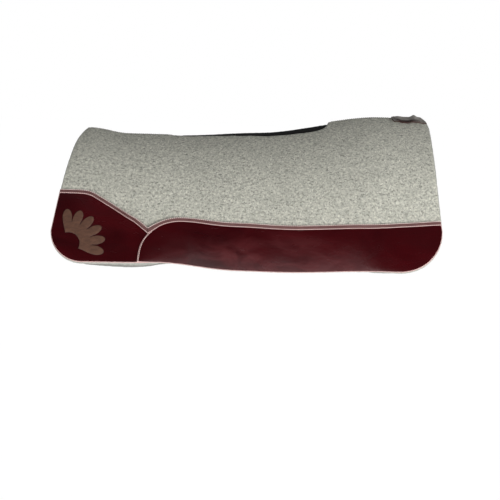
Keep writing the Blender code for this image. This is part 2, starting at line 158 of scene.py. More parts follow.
# Wear of the leathers, with a painted sheen: a rubbed area painted lighter, partly as a highlight
WEAR_SHEEN_MIDDLE = 0.065  # the x of the middle of the rubbed area, lighter from wear and from a painted highlight
WEAR_SHEEN_TOP = (0.092, 0.044)  # and the heights between which its top fades out there
PATCH_SHADE_SPAN = (0.326, 0.338)  # between these values of x the patch's sides are painted dark, a painted shade under their curled edges
PATCH_FADE = (0.362, 0.384)  # and between these they give way to its paler front, and the painted shade fades

SIDES = ((1, "left"), (-1, "right"))  # the sign of t on each side


def smooth(value):
    value = np.clip(value, 0.0, 1.0)
    return value * value * (3 - 2 * value)


# ---------------------------------------------------------------- the drape


def rise(x, start, length, size):
    """A smooth change along the pad, towards the rear where the length is negative."""
    return size * smooth((x - start) / length)


def ridge_z(x):
    return RIDGE_DIP_Z + rise(x, *RIDGE_BACK) + rise(x, *RIDGE_WITHERS) + rise(x, *RIDGE_REAR)


def hem_z(x):
    return HEM_Z + rise(x, *HEM_REAR) + rise(x, *HEM_FRONT)


def flare(x):
    return rise(x, *REAR_FLARE) + rise(x, *FRONT_FLARE)


def slope(x, share):
    """Angle of the outer surface below the horizontal, at a share of the way from the spine to the hem."""
    angle = RIDGE_ANGLE + (HEM_ANGLE - RIDGE_ANGLE) * share
    return angle - FLARE_ANGLE * flare(x) * smooth((share - FLARE_START) / (1 - FLARE_START))


def running_share(part):
    """How far out or down the surface has gone at each station and step, as a share of its length."""
    steps = (np.arange(int(STEPS * 1.2)) + 0.5) / STEPS
    each = part(slope(STATIONS[:, None], steps[None, :])) / STEPS
    return np.hstack([np.zeros((len(STATIONS), 1)), np.cumsum(each, axis=1)])


OUT = running_share(np.cos)
DOWN = running_share(np.sin)
REACHES = (ridge_z(STATIONS) - hem_z(STATIONS)) / DOWN[:, STEPS]


def reach(x):
    """Distance from the spine to the hem over the pad's outer surface."""
    return np.interp(x, STATIONS, REACHES)


def lookup(table, x, share):
    column = np.clip((x - STATIONS[0]) / (STATIONS[1] - STATIONS[0]), 0, len(STATIONS) - 1.001)
    row = np.clip(share * STEPS, 0, table.shape[1] - 1.001)
    i, j = column.astype(int), row.astype(int)
    a, b = column - i, row - j
    low = table[i, j] * (1 - b) + table[i, j + 1] * b
    high = table[i + 1, j] * (1 - b) + table[i + 1, j + 1] * b
    return low * (1 - a) + high * a


def drape(x, t, height):
    """Pattern points with their heights, as places in space."""
    length = reach(x)
    share = np.abs(t) / length
    angle = slope(x, share) * smooth(np.abs(t) / RIDGE_SOFT)
    y = length * lookup(OUT, x, share) + height * np.sin(angle)
    z = ridge_z(x) - length * lookup(DOWN, x, share) + height * np.cos(angle)
    return np.column_stack([x, np.where(t < 0, -1, 1) * y, np.maximum(z, 0.0)])


def ripple(x, t, wavelength, seed):
    """Smooth irregular waves between about -1 and 1, the same on every run."""
    rng = np.random.default_rng(seed)
    total = np.zeros_like(x)
    for _ in range(12):
        angle, phase = rng.uniform(0, 2 * math.pi, 2)
        number = 2 * math.pi / (wavelength * rng.uniform(0.7, 1.5))
        total += np.sin(number * (x * math.cos(angle) + t * math.sin(angle)) + phase)
    return total / 4.5


# ---------------------------------------------------------------- flat patterns


def rear_x(t):
    cut = (REAR_CUT - REAR_NOTCH) * max(0.0, 1 - t / REAR_CUT_LENGTH)
    return -HALF_LENGTH + cut + REAR_NOTCH * max(0.0, 1 - t / REAR_NOTCH_LENGTH) ** 2


def front_x(t):
    cut = FRONT_CUT * max(0.0, 1 - (t / FRONT_CUT_LENGTH) ** 3)
    return HALF_LENGTH - cut - FRONT_NOTCH * max(0.0, 1 - t / FRONT_NOTCH_LENGTH) ** 2


def corner_arc(centre_x, radius, inset, start, end, steps=18):
    points = []
    for step in range(steps + 1):
        angle = math.radians(start + (end - start) * step / steps)
        x = centre_x + (radius - inset) * math.cos(angle)
        points.append((x, reach(x) - radius - (radius - inset) * math.sin(angle)))
    return points


def rear_corner(inset, radius=CORNER_RADII[0]):
    """The lower rear corner, from the rear edge down to the hem."""
    return corner_arc(-HALF_LENGTH + radius, radius, inset, 180, 270)


def front_corner(inset, radius=CORNER_RADII[1]):
    """The lower front corner, from the hem up to the front edge."""
    return corner_arc(HALF_LENGTH - radius, radius, inset, 270, 360)


def hem(inset, x_from, x_to, steps=24):
    stations = np.linspace(x_from, x_to, steps + 1)[1:-1]
    return [(x, reach(x) - inset) for x in stations]


def slot_half(x):
    """Half the width of the spine slot: a long teardrop, widest near its rounded front end."""
    body = SLOT_REAR_HALF + rise(x, *SLOT_WIDENING)
    from_front = max(0.0, 1 - (SLOT_FRONT_X - x) / SLOT_FRONT_END)
    from_rear = max(0.0, 1 - (x - SLOT_REAR_X) / SLOT_REAR_END)
    return body * math.sqrt(max(0.0, 1 - from_front**2)) * math.sqrt(max(0.0, 1 - from_rear**2))


def slot_stations():
    """Stations along the slot, from its front end to its rear end."""
    ends = 1 - np.cos(np.radians(np.linspace(0, 90, 10)))
    front = SLOT_FRONT_X - SLOT_FRONT_END * ends
    rear = SLOT_REAR_X + SLOT_REAR_END * ends[::-1]
    return [*front, *np.linspace(front[-1], rear[0], 16)[1:-1], *rear]


def sag(x):
    """How far the bottom felt hangs below its even edge."""
    total = 0.0
    for middle, behind, ahead, depth in SAGS:
        total += depth * math.exp(-(((x - middle) / (behind if x < middle else ahead)) ** 2))
    return total


def felt_outline(layer):
    """One half of the top or the bottom felt, from the front of the spine round."""
    top = layer == "top"
    radii = CORNER_RADII if top else UNDER_RADII
    points = [(front_x(0), SEAM_GAP)]
    if top:
        points += [(x, max(SEAM_GAP, slot_half(x))) for x in slot_stations()]
    points += [(rear_x(t), max(t, SEAM_GAP)) for t in np.linspace(0, ENDS_T, 16)]
    points += rear_corner(0.0, radii[0])
    lower = hem(0.0, -HALF_LENGTH + radii[0], HALF_LENGTH - radii[1], 36)
    points += lower if top else [(x, t + sag(x)) for x, t in lower]
    points += front_corner(0.0, radii[1])
    points += [(front_x(t), t) for t in (*np.linspace(ENDS_T, 0.06, 8), 0.045, 0.03, 0.015)]
    return points


def inlay_outline():
    """The spine inlay, over both halves of the slot with a little room all round."""
    half = [(x, slot_half(x) - INLAY_ROOM) for x in slot_stations() if slot_half(x) > 4 * INLAY_ROOM]
    return half + [(x, -t) for x, t in reversed(half)]


def wear_top(x):
    """Height of the wear leather's top edge above the hem."""
    behind = np.maximum(0.0, (WEAR_TOP_REAR_X - x) / (WEAR_TOP_REAR_X - TRIM_START_X))
    top = WEAR_TOP + rise(x, *WEAR_TOP_MIDDLE) + rise(x, *WEAR_TOP_FRONT)
    return top - WEAR_TOP_DROP * behind**2.8


def lap_curve(end=0.75, steps=18):
    """The wear leather's rear edge over the corner leather, from the hem upwards, as (x, up)."""
    points = []
    for step in range(steps + 1):
        t = end * step / steps
        weights = ((1 - t) ** 3, 3 * t * (1 - t) ** 2, 3 * t * t * (1 - t), t**3)
        points.append(tuple(sum(w * p[i] for w, p in zip(weights, LAP_CURVE)) for i in (0, 1)))
    return points


def wear_top_edge(start=TRIM_START_X, steps=40):
    end = front_x(0.3) - LEATHER_INSET
    stations = start + (end - start) * np.linspace(0, 1, steps + 1) ** 1.3
    return [(x, wear_top(x)) for x in stations]


def corner_edge():
    """The corner leather's top edge, from the rear edge of the pad to its end under the wear leather."""
    start = [(-0.400, CORNER_TOP), (-0.362, CORNER_TOP)]
    rounded = [(-0.346, CORNER_TOP - 0.0006), (-0.335, CORNER_TOP - 0.0030)]
    return start + rounded + [CORNER_SHOULDER, CORNER_BEND, CORNER_END]


def to_pattern(points, side=1):
    """From (x, up from the hem) to pattern points on one side."""
    return [(x, side * (reach(x) - up)) for x, up in points]


def mirrored(points, side):
    return [(x, side * t) for x, t in points]


def wear_outline():
    lower = hem(LEATHER_INSET, LAP_CURVE[0][0], HALF_LENGTH - CORNER_RADII[1])
    top = lap_curve() + wear_top_edge()
    return lower + front_corner(LEATHER_INSET) + to_pattern(reversed(top))


def corner_outline():
    rear_end = -HALF_LENGTH + CORNER_RADII[0]
    start = CORNER_END[0] - 0.014
    end = [(start, reach(start) - LEATHER_INSET)]
    lower = hem(LEATHER_INSET, rear_end, start, 8)
    return rear_corner(LEATHER_INSET) + lower + end + to_pattern(reversed(corner_edge()))


def rosette_outline():
    """A quarter of a daisy of equal round petals on a plain ring, as (x, up)."""
    start, end = ROSETTE_ARC
    steps = ROSETTE_PETALS * 16
    shares = np.linspace(0, 1, steps + 1)
    bulge = np.sqrt(np.abs(np.sin(math.pi * ROSETTE_PETALS * shares)))
    outer_angle = start + (end - start) * shares
    outer = ROSETTE_VALLEY + (ROSETTE_TIP - ROSETTE_VALLEY) * bulge
    inner_angle = np.linspace(end, start, 25)
    angle = np.concatenate([outer_angle, inner_angle])
    radius = np.concatenate([outer, np.full(25, ROSETTE_HUB)])
    return list(zip(ROSETTE_X + radius * np.cos(angle), ROSETTE_UP + radius * np.sin(angle)))


def patch_outline():
    """The wither patch, over both sides of the spine, with its rear corners rounded."""
    front = [(front_x(t) - PATCH_INSET, t) for t in (0.003, 0.012, 0.022, PATCH_HALF - 0.002)]
    rear = [(0.012, PATCH_HALF), (0.003, 0.8 * PATCH_HALF), (0.0, 0.4 * PATCH_HALF)]
    half = front + [(PATCH_REAR_X + x, t) for x, t in rear]
    return half + [(x, -t) for x, t in reversed(half)]


def patch_seam_path():
    """Round the sides and the rear of the patch, inside its edge."""
    inner = PATCH_HALF - PATCH_SEAM_INSET
    half = [(front_x(inner) - 0.008, inner), (PATCH_REAR_X + 0.016, inner)]
    half += [(PATCH_REAR_X + 0.008, 0.8 * inner), (PATCH_REAR_X + 0.005, 0.4 * inner)]
    return half + [(x, -t) for x, t in reversed(half)]


def offset_path(points, distance):
    """An open path moved sideways, to the right of its direction when the distance is positive."""
    points = np.array(points, float)
    ways = np.diff(points, axis=0)
    ways /= np.linalg.norm(ways, axis=1)[:, None]
    mean = np.vstack([ways[:1], ways[:-1] + ways[1:], ways[-1:]])
    mean /= np.linalg.norm(mean, axis=1)[:, None]
    before = np.vstack([ways[:1], ways])
    stretch = 1 / np.maximum((mean * before).sum(axis=1), 0.6)
    return points + np.column_stack([mean[:, 1], -mean[:, 0]]) * (distance * stretch)[:, None]


def extended(points, length=0.03):
    """An open path carried straight on past both its ends."""
    points = np.array(points, float)
    before, after = points[0] - points[1], points[-1] - points[-2]
    first = points[0] + before * (length / np.linalg.norm(before))
    last = points[-1] + after * (length / np.linalg.norm(after))
    return np.vstack([first, points, last])


def clipped(points, x_low, x_high):
    """The part of a path between two stations, with its ends put exactly on them."""
    points = np.array(points, float)
    inside = points[(points[:, 0] > x_low) & (points[:, 0] < x_high)]
    ends = [[(x, np.interp(x, points[:, 0], points[:, 1]))] for x in (x_low, x_high)]
    return np.vstack([ends[0], inside, ends[1]])


def trim_line(part, sideways):
    """A line along a trim strip, at a distance below its middle, between the strip's cut ends."""
    if part == "corner":
        path = offset_path(extended(corner_edge()), TRIM_INSET + sideways)
        return clipped(path, TRIM_LIMITS[0], TRIM_START_X - GAP)
    edge = extended(wear_top_edge())
    spread = 1 + rise(edge[:, 0], *TRIM_SPREAD) if sideways > 0 else 1.0
    path = offset_path(edge, TRIM_INSET + sideways * spread)
    return clipped(path, TRIM_START_X, TRIM_LIMITS[1])


def lap_seam_path():
    """Along the lap, up to where the wear trim covers it."""
    return offset_path(lap_curve(end=0.86), LAP_SEAM_INSET)


# ---------------------------------------------------------------- meshes


def densified(points, spacing):
    """A closed outline with points added until none are further apart than the spacing."""
    points = np.array(points, float)
    dense = []
    for start, end in zip(points, np.roll(points, -1, axis=0)):
        length = np.linalg.norm(end - start)
        if length < 0.05 * MM:
            continue
        count = max(1, math.ceil(length / spacing))
        dense += [start + (end - start) * k / count for k in range(count)]
    return np.array(dense)


def signed_area(points):
    x, t = points[:, 0], points[:, 1]
    return 0.5 * float((x * np.roll(t, -1) - np.roll(x, -1) * t).sum())


def inset(points, distance):
    """A closed anticlockwise outline drawn in by a distance, one for all its points or one each."""
    ways = np.roll(points, -1, axis=0) - points
    ways /= np.linalg.norm(ways, axis=1)[:, None]
    before = np.roll(ways, 1, axis=0)
    mean = ways + before
    mean /= np.maximum(np.linalg.norm(mean, axis=1), 1e-6)[:, None]
    stretch = 1 / np.maximum((mean * before).sum(axis=1), 0.6)
    return points + np.column_stack([-mean[:, 1], mean[:, 0]]) * (distance * stretch)[:, None]


def edge_distance(points, outline):
    """Distance from each point to a closed outline, and whether the point is inside it."""
    best = np.full(len(points), np.inf)
    inside = np.zeros(len(points), bool)
    for start, end in zip(outline, np.roll(outline, -1, axis=0)):
        way = end - start
        along = np.clip(((points - start) @ way) / (way @ way), 0, 1)
        best = np.minimum(best, np.linalg.norm(points - start - along[:, None] * way, axis=1))
        crosses = (start[1] > points[:, 1]) != (end[1] > points[:, 1])
        climb = way[1] if abs(way[1]) > 1e-12 else 1e-12
        inside ^= crosses & (points[:, 0] < start[0] + (points[:, 1] - start[1]) * way[0] / climb)
    return best, inside


def filled(outline, cell):
    """Points and triangles over the inside of an outline. The outline's own points come first."""
    low, high = outline.min(axis=0), outline.max(axis=0)
    axes = [np.arange(low[i] + cell / 2, high[i], cell) for i in (0, 1)]
    grid = np.stack(np.meshgrid(*axes, indexing="ij"), axis=-1).reshape(-1, 2)
    distance, inside = edge_distance(grid, outline)
    points = np.vstack([outline, grid[inside & (distance > 0.6 * cell)]])
    border = list(range(len(outline)))
    made = delaunay_2d_cdt([Vector(p) for p in points], [], [border], 1, 1e-7)
    source = [first[0] for first in made[3]]
    return points, [tuple(source[i] for i in face) for face in made[2]]


def new_object(name, verts, faces, face_slots, materials):
    mesh = bpy.data.meshes.new(name)
    mesh.from_pydata([tuple(v) for v in verts], [], [tuple(f) for f in faces])
    for material in materials:
        mesh.materials.append(material)
    mesh.polygons.foreach_set("material_index", np.array(face_slots, dtype=np.int32))
    mesh.polygons.foreach_set("use_smooth", np.ones(len(mesh.polygons), dtype=bool))
    mesh.update()
    obj = bpy.data.objects.new(name, mesh)
    bpy.context.scene.collection.objects.link(obj)
    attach(obj, "root")
    return obj


def rim_loops(width, height, levels):
    """Cross-section of a cut edge, from its top to its underside: inset, share of the thickness, offset."""
    turn = np.radians([90, 60, 30, 0])
    top = [(width * (1 - math.cos(a)), 0.0, -height * (1 - math.sin(a))) for a in turn]
    wall = [(0.0, k / levels, height * (2 * k / levels - 1)) for k in range(1, levels)]
    under = [(i, 1.0, -h) for i, _, h in reversed(top)]
    return top + wall + under


def panel(name, outline, cell, rim, top, under, materials, levels=3, fray=0.0):
    """A sheet cut to an outline, its edges rounded over a width and height given as the rim.

    The heights of both faces are functions of x, t and the distance to the edge."""
    outline = densified(outline, cell)
    if signed_area(outline) < 0:
        outline = outline[::-1]
    loops = rim_loops(*rim, levels)
    points, triangles = filled(inset(outline, loops[0][0]), cell)
    depth = edge_distance(points, outline)[0]
    count, around = len(points), len(outline)
    x, t = points.T
    high, low = top(x, t, depth), under(x, t, depth)
    verts = [drape(x, t, high), drape(x, t, low)]
    rings = [np.arange(around)]
    for k, (distance, share, offset) in enumerate(loops[1:-1]):
        rough = fray * ripple(outline[:, 0], outline[:, 1] + 0.01 * k, 4 * MM, 31 + k)
        ring = inset(outline, distance - rough)
        x, t = ring.T
        edge = np.full(len(ring), distance)
        height = top(x, t, edge) * (1 - share) + under(x, t, edge) * share + offset
        rings.append(2 * count + len(rings[1:]) * around + np.arange(around))
        verts.append(drape(x, t, height))
    rings.append(count + np.arange(around))
    faces = list(triangles) + [tuple(count + i for i in reversed(face)) for face in triangles]
    slots = [0] * len(faces)
    for upper, lower in zip(rings, rings[1:]):
        after = np.roll(np.arange(around), -1)
        faces += list(zip(upper, lower, lower[after], upper[after]))
        slots += [len(materials) - 1] * around
    verts = np.vstack(verts)
    return new_object(name, verts, oriented(verts, faces), slots, materials)


def oriented(verts, faces):
    """The faces of a closed shell, turned round if they face inwards."""
    fans = np.array([(f[0], f[k], f[k + 1]) for f in faces for k in range(1, len(f) - 1)])
    a, b, c = (verts[fans[:, i]] for i in range(3))
    volume = float((a * np.cross(b, c)).sum())
    return faces if volume > 0 else [tuple(reversed(face)) for face in faces]


def spaced(path, count):
    """An open path as a number of evenly spaced points."""
    path = np.array(path, float)
    run = np.concatenate([[0], np.cumsum(np.linalg.norm(np.diff(path, axis=0), axis=1))])
    stations = np.linspace(0, run[-1], count)
    return np.column_stack([np.interp(stations, run, path[:, i]) for i in (0, 1)])


def resampled(path, spacing):
    length = np.linalg.norm(np.diff(np.array(path, float), axis=0), axis=1).sum()
    return spaced(path, max(2, round(length / spacing) + 1))


def strip(name, lines, heights, base, materials):
    """A narrow sheet through pattern lines that run side by side round its section."""
    verts, faces = [], []
    for line, height in zip(lines, heights):
        x, t = np.array(line).T
        verts.append(drape(x, t, base(x) + height))
    count, around = len(lines[0]), len(lines)
    for k in range(around):
        after = (k + 1) % around
        for i in range(count - 1):
            faces.append((k * count + i, k * count + i + 1, after * count + i + 1, after * count + i))
    faces.append([k * count for k in range(around)])
    faces.append([k * count + count - 1 for k in reversed(range(around))])
    verts = np.vstack(verts)
    low = [height < 0.55 * TRIM for height in heights]
    cut = [int(low[k] or low[(k + 1) % around]) for k in range(around)]
    slots = [slot for slot in cut for _ in range(count - 1)]
    return new_object(name, verts, oriented(verts, faces), slots + [1, 1], materials)


def stitches(name, starts, ends, base, radius, material, rings=7, sides=8):
    """Sewn stitches: plump twisted threads that dive into the piece below at both ends."""
    starts, ends = np.array(starts, float), np.array(ends, float)
    way = ends - starts
    length = np.linalg.norm(way, axis=1)
    way /= length[:, None]
    across = np.column_stack([-way[:, 1], way[:, 0]])
    points, heights = [], []
    for ring in range(rings):
        share = ring / (rings - 1)
        swell = math.sqrt(max(0.0, 1 - abs(2 * share - 1) ** 3))
        centre = starts + way * (length * share)[:, None]
        for k in range(sides):
            angle = 2 * math.pi * k / sides
            ply = 1 + 0.16 * math.cos(2 * angle - 5 * share)
            girth = radius * (0.45 + 0.55 * swell) * ply
            points.append(centre + across * girth * math.cos(angle))
            lift = radius * (1.9 * swell - 1.2) + girth * math.sin(angle)
            heights.append(base(centre[:, 0], centre[:, 1]) + lift)
    points, heights = np.stack(points, axis=1), np.stack(heights, axis=1)
    flat = points.reshape(-1, 2)
    verts = drape(flat[:, 0], flat[:, 1], heights.reshape(-1))
    faces = []
    for stitch in range(len(starts)):
        first = stitch * rings * sides
        for ring in range(rings - 1):
            for k in range(sides):
                a, b = first + ring * sides + k, first + ring * sides + (k + 1) % sides
                faces.append((a, b, b + sides, a + sides))
        faces.append([first + k for k in reversed(range(sides))])
        faces.append([first + (rings - 1) * sides + k for k in range(sides)])
    return new_object(name, verts, oriented(verts, faces), [0] * len(faces), [material])


def running_stitch(path, pitch=STITCH_PITCH, gap=0.12):
    """Start and end of each stitch along a path."""
    path = resampled(path, pitch)
    way = np.diff(path, axis=0)
    return path[:-1] + way * gap / 2, path[1:] - way * gap / 2


# ---------------------------------------------------------------- materials


class Nodes:
    """A material's node tree, with short calls for the nodes that these materials share."""

    def __init__(self, name):
        self.material = bpy.data.materials.new(name)
        self.material.use_nodes = True
        self.tree = self.material.node_tree
        self.shader = self.tree.nodes["Principled BSDF"]
        self.place = self.tree.nodes.new("ShaderNodeTexCoord").outputs["Object"]

    def add(self, kind, inputs=None, **settings):
        node = self.tree.nodes.new(kind)
        for key, value in settings.items():
            setattr(node, key, value)
        for key, value in (inputs or {}).items():
            if isinstance(value, bpy.types.NodeSocket):
                self.tree.links.new(value, node.inputs[key])
            else:
                node.inputs[key].default_value = value
        return node

    def noise(self, scale, detail=3.0, roughness=0.55, stretch=(1, 1, 1), distortion=0.0):
        mapping = self.add("ShaderNodeMapping", {"Vector": self.place, "Scale": stretch})
        inputs = {"Vector": mapping.outputs[0], "Scale": scale, "Detail": detail}
        inputs.update({"Roughness": roughness, "Distortion": distortion})
        return self.add("ShaderNodeTexNoise", inputs).outputs["Fac"]

    def ranged(self, value, low, high, out_low=0.0, out_high=1.0):
        inputs = {"Value": value, "From Min": low, "From Max": high}
        inputs.update({"To Min": out_low, "To Max": out_high})
        return self.add("ShaderNodeMapRange", inputs).outputs["Result"]

    def mix(self, share, first, second, blend="MIX"):
        node = self.add("ShaderNodeMix", {"Factor": share}, data_type="RGBA", blend_type=blend)
        for key, value in (("A", first), ("B", second)):
            socket = next(s for s in node.inputs if s.name == key and s.type == "RGBA")
            if isinstance(value, bpy.types.NodeSocket):
                self.tree.links.new(value, socket)
            else:
                socket.default_value = (*value, 1)
        return next(s for s in node.outputs if s.type == "RGBA")

    def maths(self, operation, first, second):
        return self.add("ShaderNodeMath", {0: first, 1: second}, operation=operation).outputs[0]

    def bump(self, height, distance, strength, under=None):
        inputs = {"Height": height, "Distance": distance, "Strength": strength}
        if under is not None:
            inputs["Normal"] = under
        return self.add("ShaderNodeBump", inputs).outputs["Normal"]

    def finish(self, colour, normal, roughness, **constants):
        self.tree.links.new(colour, self.shader.inputs["Base Color"])
        self.tree.links.new(normal, self.shader.inputs["Normal"])
        self.tree.links.new(roughness, self.shader.inputs["Roughness"])
        for key, value in constants.items():
            self.shader.inputs[key.replace("_", " ")].default_value = value
        return self.material


def felt_material(name, pale, dark, fleck, light, contrast=1.0):
    """Pressed heather wool: a fine mottle, dark and pale flecks, and thin fibres lying along the pad."""
    n = Nodes(name)
    mottle = n.noise(220, 4.0, 0.7, (0.8, 1, 1), 0.15)
    dark_flecks = n.noise(300, 3.0, 0.6, (0.6, 1, 1), 0.3)
    pale_flecks = n.noise(330, 3.0, 0.6, (1, 0.65, 0.65), 0.3)
    fibres = n.noise(1700, 3.0, 0.6, (0.22, 1, 1), 0.5)
    broad = n.noise(14, 3.0, 0.5)
    colour = n.mix(n.ranged(mottle, 0.36, 0.64), dark, pale)
    colour = n.mix(n.ranged(dark_flecks, 0.53, 0.66, 0.0, 0.80 * contrast), colour, fleck)
    colour = n.mix(n.ranged(pale_flecks, 0.53, 0.66, 0.0, 0.80 * contrast), colour, light)
    colour = n.mix(n.ranged(fibres, 0.42, 0.70, 0.0, 0.25), colour, pale)
    colour = n.mix(n.ranged(broad, 0.35, 0.65, 0.0, 0.14), colour, dark)
    height = n.maths("ADD", n.maths("MULTIPLY", mottle, 0.8), fibres)
    normal = n.bump(height, 0.0010, 0.6, n.bump(pale_flecks, 0.0010, 0.45))
    rough = n.ranged(dark_flecks, 0.3, 0.7, 0.88, 1.0)
    return n.finish(colour, normal, rough, Sheen_Weight=0.10, Sheen_Roughness=0.6)


def felt_edge_material(name, pale, dark):
    """A cut felt edge: compressed layers of fibre along the sheet."""
    n = Nodes(name)
    layers = n.noise(900, 3.0, 0.6, (0.10, 1, 1), 0.2)
    tufts = n.noise(500, 3.0, 0.6)
    colour = n.mix(n.ranged(layers, 0.35, 0.65), dark, pale)
    colour = n.mix(n.ranged(tufts, 0.5, 0.75, 0.0, 0.5), colour, pale)
    normal = n.bump(n.maths("ADD", layers, tufts), 0.0012, 0.8)
    return n.finish(colour, normal, n.ranged(tufts, 0.3, 0.7, 0.9, 1.0), Sheen_Weight=0.1)


def wear_and_painted_sheen(n):
    """Share of wear and of painted highlight: a blotchy low dome in the middle of the wear leather, where
    the rider's leg rubs; its lighter colour stands partly for a highlight painted into the colour.
    """
    axes = n.add("ShaderNodeSeparateXYZ", {0: n.place}).outputs
    aside = n.maths("SUBTRACT", axes["X"], WEAR_SHEEN_MIDDLE)
    height = n.maths("ADD", axes["Z"], n.maths("MULTIPLY", aside, aside))
    blotches = n.noise(21, 3.0, 0.55, (0.6, 1, 1), 0.9)
    return n.maths("MULTIPLY", n.ranged(height, *WEAR_SHEEN_TOP), n.ranged(blotches, 0.40, 0.62, 0.10, 1.0))


def leather_material(name, deep, warm, worn_sheen, rough_low, rough_high, **constants):
    """Oiled leather: slow changes of depth, a fine pebble, small creases and a soft uneven polish."""
    n = Nodes(name)
    broad = n.noise(11, 3.0, 0.5, (0.6, 1, 1), 0.5)
    streaks = n.noise(34, 4.0, 0.6, (0.35, 1, 1), 0.8)
    pebble = n.add("ShaderNodeTexVoronoi", {"Vector": n.place, "Scale": 620.0}).outputs["Distance"]
    pores = n.noise(900, 2.0, 0.5)
    crease = n.noise(60, 4.0, 0.65, (0.45, 1, 1), 1.2)
    colour = n.mix(n.ranged(broad, 0.35, 0.65), deep, warm)
    colour = n.mix(n.ranged(streaks, 0.5, 0.8, 0.0, 0.5), colour, deep)
    # the rubbed area is painted lighter: partly wear, partly a painted highlight on the lower middle of the
    # wear leather
    colour = n.mix(wear_and_painted_sheen(n), colour, worn_sheen)
    grain = n.maths("ADD", n.maths("MULTIPLY", pebble, 0.7), n.maths("MULTIPLY", pores, 0.5))
    normal = n.bump(grain, 0.0003, 0.20, n.bump(crease, 0.0015, 0.16))
    rough = n.ranged(n.maths("ADD", streaks, broad), 0.7, 1.3, rough_low, rough_high)
    return n.finish(colour, normal, rough, **constants)


def matte_leather_material(name, pale, dark, nap):
    """Thin leather with a dull face, scuffed lighter in places."""
    n = Nodes(name)
    scuff = n.noise(160, 4.0, 0.65, (0.5, 1, 1), 0.6)
    grain = n.noise(1100, 3.0, 0.6)
    colour = n.mix(n.ranged(scuff, 0.35, 0.7), dark, pale)
    colour = n.mix(n.ranged(grain, 0.45, 0.8, 0.0, nap), colour, pale)
    normal = n.bump(grain, 0.0004, 0.45, n.bump(scuff, 0.0006, 0.3))
    return n.finish(colour, normal, n.ranged(scuff, 0.3, 0.7, 0.6, 0.85), Specular_IOR_Level=0.3)


def puckered_material(name, dull, pale, dark):
    """Scuffed soft leather, its pale grey-brown a painted sheen, paler towards the front, with painted shade
    where its sides are drawn under.
    """
    n = Nodes(name)
    scuff = n.noise(110, 3.0, 0.6, (0.5, 1, 1), 0.8)
    grain = n.noise(1100, 3.0, 0.6)
    axes = n.add("ShaderNodeSeparateXYZ", {0: n.place}).outputs
    aside = n.maths("ABSOLUTE", axes["Y"], 0.0)
    aside = n.ranged(n.maths("ADD", aside, n.maths("MULTIPLY", scuff, 0.008)), 0.020, 0.026)
    fading = n.ranged(axes["X"], *PATCH_FADE, 1.0, 0.4)
    # painted shade: the sides are darkened where they curl up off the felt
    under = n.maths("MULTIPLY", n.ranged(axes["X"], *PATCH_SHADE_SPAN), fading)
    colour = n.mix(n.ranged(scuff, 0.35, 0.65), dull, pale)
    colour = n.mix(n.ranged(axes["X"], *PATCH_FADE, 0.0, 0.6), colour, pale)
    colour = n.mix(n.maths("MULTIPLY", aside, under), colour, dark)
    normal = n.bump(grain, 0.0004, 0.4, n.bump(scuff, 0.0010, 0.4))
    return n.finish(colour, normal, n.ranged(scuff, 0.3, 0.7, 0.40, 0.60), Specular_IOR_Level=0.5)


def raw_edge_material(name, pale, dark):
    n = Nodes(name)
    fibre = n.noise(1400, 3.0, 0.6)
    colour = n.mix(n.ranged(fibre, 0.35, 0.7), dark, pale)
    return n.finish(colour, n.bump(fibre, 0.0003, 0.6), n.ranged(fibre, 0.3, 0.7, 0.75, 0.95))


def thread_material(name, pale, dark):
    """Waxed twisted thread."""
    n = Nodes(name)
    ply = n.noise(2200, 2.0, 0.5, (1, 1, 1), 0.4)
    soil = n.noise(60, 2.0, 0.5)
    colour = n.mix(n.ranged(ply, 0.35, 0.65, 0.0, 0.6), pale, dark)
    colour = n.mix(n.ranged(soil, 0.4, 0.7, 0.0, 0.35), colour, dark)
    return n.finish(colour, n.bump(ply, 0.0002, 0.5), n.ranged(ply, 0.3, 0.7, 0.5, 0.75))


def inlay_material(name):
    """Black needled felt, with a little grey lint."""
    n = Nodes(name)
    loops = n.noise(700, 3.0, 0.6)
    lint = n.noise(420, 2.0, 0.6, (0.4, 1, 1), 1.0)
    colour = n.mix(n.ranged(loops, 0.4, 0.8), (0.006, 0.006, 0.006), (0.020, 0.019, 0.018))
    colour = n.mix(n.ranged(lint, 0.66, 0.78, 0.0, 0.35), colour, (0.09, 0.09, 0.08))
    return n.finish(colour, n.bump(loops, 0.0010, 0.7), n.ranged(loops, 0.3, 0.7, 0.85, 1.0))


# ---------------------------------------------------------------- the pieces


def declare(piece, slot, node, **sheet):
    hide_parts(node)
    return piece


def flat_size(outline):
    """The cut's width and length, and its area."""
    points = np.array(outline)
    extent = np.ptp(points, axis=0)
    return (float(extent[1]), float(extent[0])), abs(signed_area(points))


def leather_edge_up(x):
    """Height above the hem of the upper edge of the leathers."""
    corner, wear = np.array(corner_edge()), np.array(wear_top_edge())
    low = np.interp(x, corner[:, 0], corner[:, 1])
    high = np.interp(x, wear[:, 0], wear[:, 1])
    return np.where(x < TRIM_START_X, low, high)


def felt_top(x, t, depth):
    """The top felt's outer surface: soft unevenness, and the hollow that the leathers are sewn into."""
    above = reach(x) - np.abs(t) - leather_edge_up(x)
    pressed = PRESS * smooth(1 - above / PRESS_REACH)
    return -pressed + 0.30 * MM * ripple(x, t, 30 * MM, 3) + 0.12 * MM * ripple(x, t, 8 * MM, 5)


def lap_lift(x):
    on, off = LAP_X
    return (LEATHER + 2 * GAP) * smooth((off - x) / (off - on))


def meeting_rise(x):
    """The corner trim is drawn up a little where it meets the wear trim."""
    return 1.4 * MM * smooth((x - TRIM_START_X + 14 * MM) / (14 * MM))


def leather_top(x, t, depth, lifted):
    """A leather's face, tucked down along its sewn edges and slightly wavy between them."""
    tuck = TUCK * (1 - smooth(depth / (7 * MM)))
    wave = 0.22 * MM * ripple(x, t * 0.5, 45 * MM, 11) * smooth(depth / (14 * MM))
    return LEATHER_TOP + lap_lift(x) * lifted - tuck + wave


